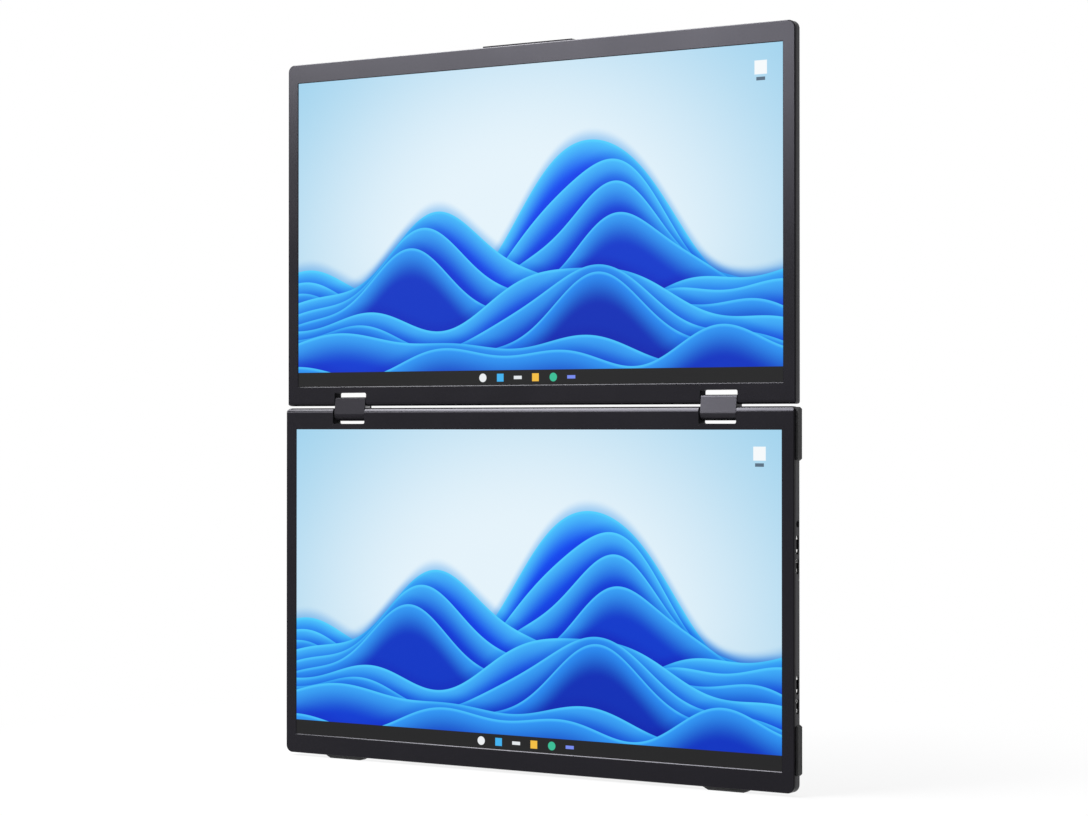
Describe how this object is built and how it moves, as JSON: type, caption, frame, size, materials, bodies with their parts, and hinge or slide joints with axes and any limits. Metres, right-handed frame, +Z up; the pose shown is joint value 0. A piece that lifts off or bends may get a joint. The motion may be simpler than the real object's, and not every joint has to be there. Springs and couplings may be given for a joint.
{
  "type": "dual portable monitor",
  "caption": "Two thin stacked displays joined by geared two-axis hinges, with a fold-out foot plate at the back and side sockets for picture, power and sound.",
  "frame": {"origin": "on the desk, under the centre of the whole, from side to side and from front to back", "axes": "+X to the viewer's right, +Y to the back, +Z up"},
  "size_m": [0.3616, 0.1096, 0.441],
  "materials": {
    "bezel_plastic": "satin near-black moulded frame",
    "shell_plastic": "fine-grained dark grey moulded back",
    "hinge_plastic": "satin dark grey hinge cover",
    "screen": "matt screen face showing a pale blue design",
    "light_guide": "clear acrylic sheet",
    "zinc_steel": "pressed zinc-plated steel",
    "black_steel": "powder-coated steel plate",
    "socket_steel": "nickel-plated pressed shell",
    "board": "green solder mask",
    "chip_plastic": "moulded chip body",
    "foot_rubber": "dark grey rubber",
    "cable_jacket": "thin black cable jacket",
    "lens": "clear light guide pin"
  },
  "bodies": {
    "lower_unit": {"audio_jack": "chip_plastic", "board_chips": "chip_plastic", "board_ribbons": "cable_jacket", "desk_foot_left": "foot_rubber", "desk_foot_right": "foot_rubber", "lower_backlight": "light_guide", "lower_backlight_tray": "zinc_steel", "lower_bezel": "bezel_plastic", "lower_bracket_screws": "zinc_steel", "lower_cover_screws": "black_steel", "lower_display_cable": "cable_jacket", "lower_hinge_bracket_left": "zinc_steel", "lower_hinge_bracket_right": "zinc_steel", "lower_hinge_nuts": "zinc_steel", "lower_hinge_shaft_left": "zinc_steel", "lower_hinge_shaft_right": "zinc_steel", "lower_lcd_cell": "screen", "lower_rear_cover": "shell_plastic", "lower_timing_board": "board", "mini_hdmi_sockets": "socket_steel", "rocker_pins": "zinc_steel", "side_foot_bottom": "foot_rubber", "side_foot_top": "foot_rubber", "speaker_left": "chip_plastic", "speaker_right": "chip_plastic", "stand_hinge_pins": "zinc_steel", "status_lenses": "lens", "usb_c_sockets": "socket_steel", "video_board_1": "board", "video_board_2": "board"},
    "hinge_link": {"hinge_cover_left": "hinge_plastic", "hinge_cover_right": "hinge_plastic", "hinge_inner_plate_left": "zinc_steel", "hinge_inner_plate_right": "zinc_steel", "hinge_outer_plate_left": "zinc_steel", "hinge_outer_plate_right": "zinc_steel", "friction_washers": "zinc_steel", "link_display_cable": "cable_jacket"},
    "lower_idlers": {"lower_idler_gear_left": "zinc_steel", "lower_idler_gear_right": "zinc_steel"},
    "upper_idlers": {"upper_idler_gear_left": "zinc_steel", "upper_idler_gear_right": "zinc_steel"},
    "upper_unit": {"upper_backlight": "light_guide", "upper_backlight_tray": "zinc_steel", "upper_bezel": "bezel_plastic", "upper_bracket_screws": "zinc_steel", "upper_cover_screws": "black_steel", "upper_display_cable": "cable_jacket", "upper_hinge_bracket_left": "zinc_steel", "upper_hinge_bracket_right": "zinc_steel", "upper_hinge_nuts": "zinc_steel", "upper_hinge_shaft_left": "zinc_steel", "upper_hinge_shaft_right": "zinc_steel", "upper_lcd_cell": "screen", "upper_rear_cover": "shell_plastic", "upper_timing_board": "board"},
    "stand": {"stand_plate": "black_steel", "stand_strip": "foot_rubber"},
    "rocker_1": {"menu_rocker_1": "bezel_plastic"},
    "rocker_2": {"menu_rocker_2": "bezel_plastic"}
  },
  "joints": [
    {"name": "lower_hinge", "type": "hinge", "parent": "lower_unit", "child": "hinge_link", "pos_m": [0, -0.05141, 0.2171], "axis": [1, 0, 0], "range_deg": [-70, 90]},
    {"name": "lower_idler_spin", "type": "hinge", "parent": "hinge_link", "child": "lower_idlers", "pos_m": [0, -0.05048, 0.21983], "axis": [1, 0, 0], "range_deg": [-70, 90]},
    {"name": "upper_idler_spin", "type": "hinge", "parent": "hinge_link", "child": "upper_idlers", "pos_m": [0, -0.04955, 0.22257], "axis": [1, 0, 0], "range_deg": [-90, 70]},
    {"name": "upper_hinge", "type": "hinge", "parent": "hinge_link", "child": "upper_unit", "pos_m": [0, -0.04861, 0.2253], "axis": [1, 0, 0], "range_deg": [-70, 90]},
    {"name": "stand_hinge", "type": "hinge", "parent": "lower_unit", "child": "stand", "pos_m": [0, -0.04901, 0.0086], "axis": [1, 0, 0], "range_deg": [0, 93.13]},
    {"name": "menu_rocker_1_tilt", "type": "hinge", "parent": "lower_unit", "child": "rocker_1", "pos_m": [-0.1771, -0.05001, 0.0876], "axis": [0, 1, 0], "range_deg": [-3, 3], "stiffness_Nm_per_rad": 0.14},
    {"name": "menu_rocker_2_tilt", "type": "hinge", "parent": "lower_unit", "child": "rocker_2", "pos_m": [-0.1771, -0.05001, 0.0506], "axis": [0, 1, 0], "range_deg": [-3, 3], "stiffness_Nm_per_rad": 0.14}
  ],
  "couplings": [
    {"joint": "upper_hinge", "follows": "lower_hinge", "ratio": 1},
    {"joint": "lower_idler_spin", "follows": "lower_hinge", "ratio": 1},
    {"joint": "upper_idler_spin", "follows": "lower_hinge", "ratio": -1}
  ]
}
